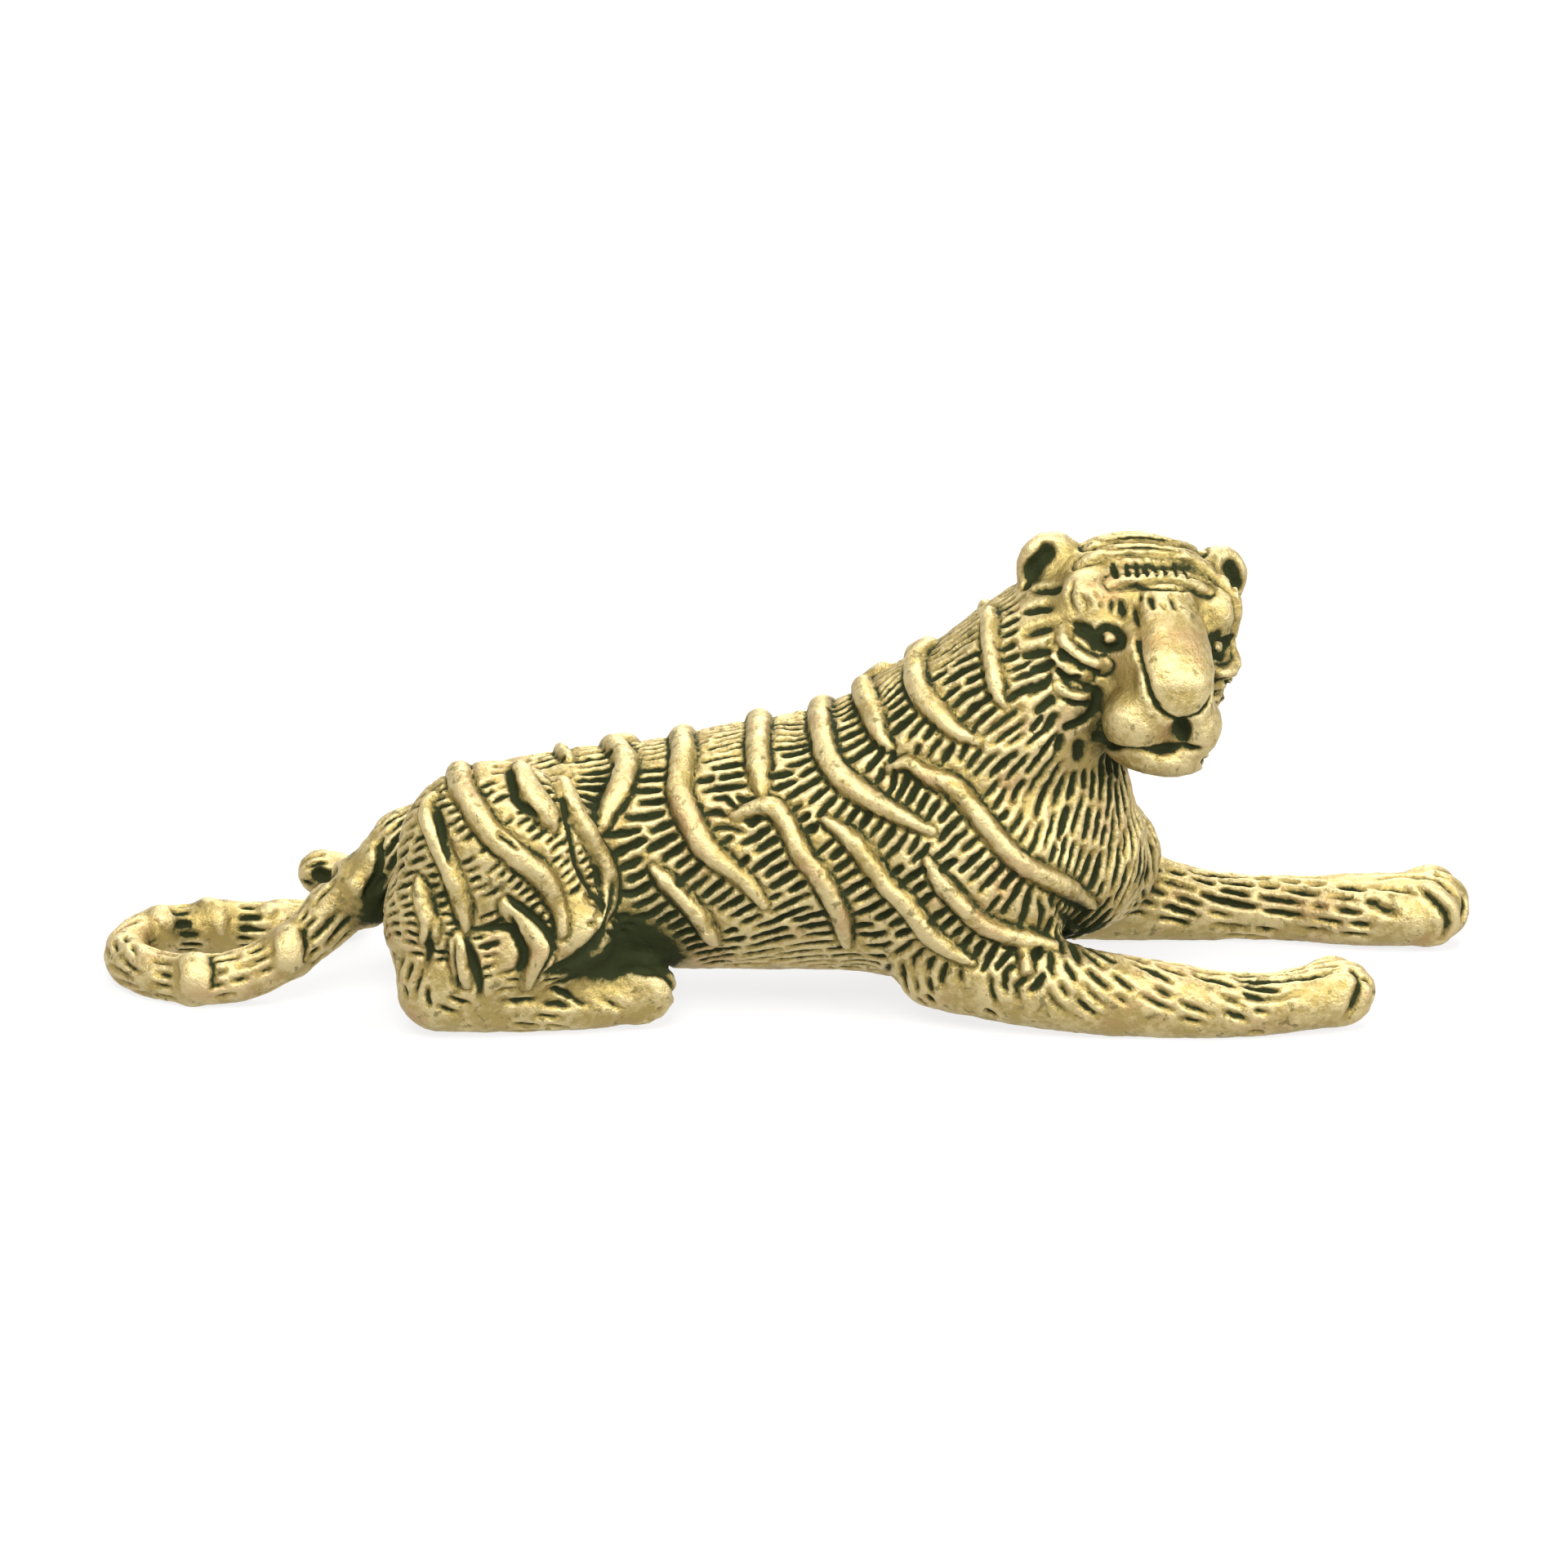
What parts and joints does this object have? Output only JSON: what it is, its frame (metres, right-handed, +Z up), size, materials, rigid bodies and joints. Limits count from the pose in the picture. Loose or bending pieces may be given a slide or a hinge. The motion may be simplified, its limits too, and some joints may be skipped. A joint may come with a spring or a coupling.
{
  "type": "tiger figurine",
  "caption": "Small solid brass figurine of a tiger lying down with head turned and tail curled, with raised stripes over carved fur.",
  "frame": {"origin": "middle of the footprint, on the surface the tiger lies on", "axes": "+Z up; +X from tail to forepaws; +Y towards the tiger's left flank"},
  "size_m": [0.0768, 0.0212, 0.0265],
  "materials": {
    "aged_brass": "cast brass, rubbed bright on the high places, dark green-black patina in the recesses"
  },
  "bodies": {
    "root": {"tiger": "aged_brass"}
  },
  "joints": []
}
